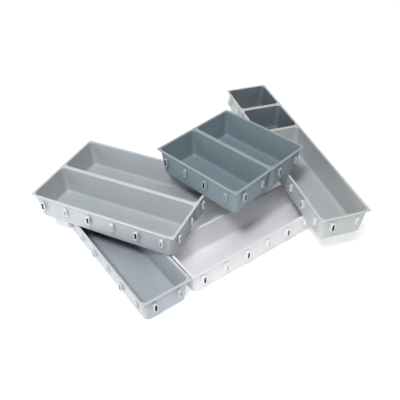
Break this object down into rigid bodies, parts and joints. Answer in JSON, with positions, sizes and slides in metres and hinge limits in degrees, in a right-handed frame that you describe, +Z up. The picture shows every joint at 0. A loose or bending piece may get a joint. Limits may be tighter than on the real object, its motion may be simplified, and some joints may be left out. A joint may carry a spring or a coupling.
{
  "type": "drawer organizer insert",
  "caption": "Modular open-topped plastic trays with flat rims and hollow side clips, clipped and stacked in a loose pile; some are divided into separate cups.",
  "frame": {"origin": "on the table, under the middle of the bounding box of the whole pile", "axes": "+Z up; +Y away from the viewer, the pile's longest extent; +X to the viewer's right"},
  "size_m": [0.4766, 0.4884, 0.1311],
  "materials": {
    "white_plastic": "satin moulded polystyrene, fine matt grain",
    "light_grey_plastic": "satin moulded polystyrene, fine matt grain",
    "blue_grey_plastic": "satin moulded polystyrene, fine matt grain",
    "neutral_grey_plastic": "satin moulded polystyrene, fine matt grain",
    "slate_plastic": "satin moulded polystyrene, fine matt grain"
  },
  "bodies": {
    "tray_12x3": {"tray_12x3": "white_plastic"},
    "tray_9x3": {"tray_9x3": "light_grey_plastic"},
    "tray_9x6": {"tray_9x6": "blue_grey_plastic"},
    "tray_15x3": {"tray_15x3": "neutral_grey_plastic"},
    "tray_6x6": {"tray_6x6": "slate_plastic"}
  },
  "joints": [
    {"name": "tray_9x6_lift", "type": "slide", "parent": "tray_12x3", "child": "tray_9x6", "axis": [0, 0, 1], "range_m": [0, 0.12]},
    {"name": "tray_6x6_lift", "type": "slide", "parent": "tray_9x6", "child": "tray_6x6", "axis": [0, 0, 1], "range_m": [0, 0.1]},
    {"name": "tray_15x3_slide_out", "type": "slide", "parent": "tray_12x3", "child": "tray_15x3", "axis": [0.9568, 0.2907, 0], "range_m": [0, 0.06]},
    {"name": "tray_9x3_unclip", "type": "slide", "parent": "tray_12x3", "child": "tray_9x3", "axis": [-0.81, -0.5864, 0], "range_m": [0, 0.04]}
  ]
}
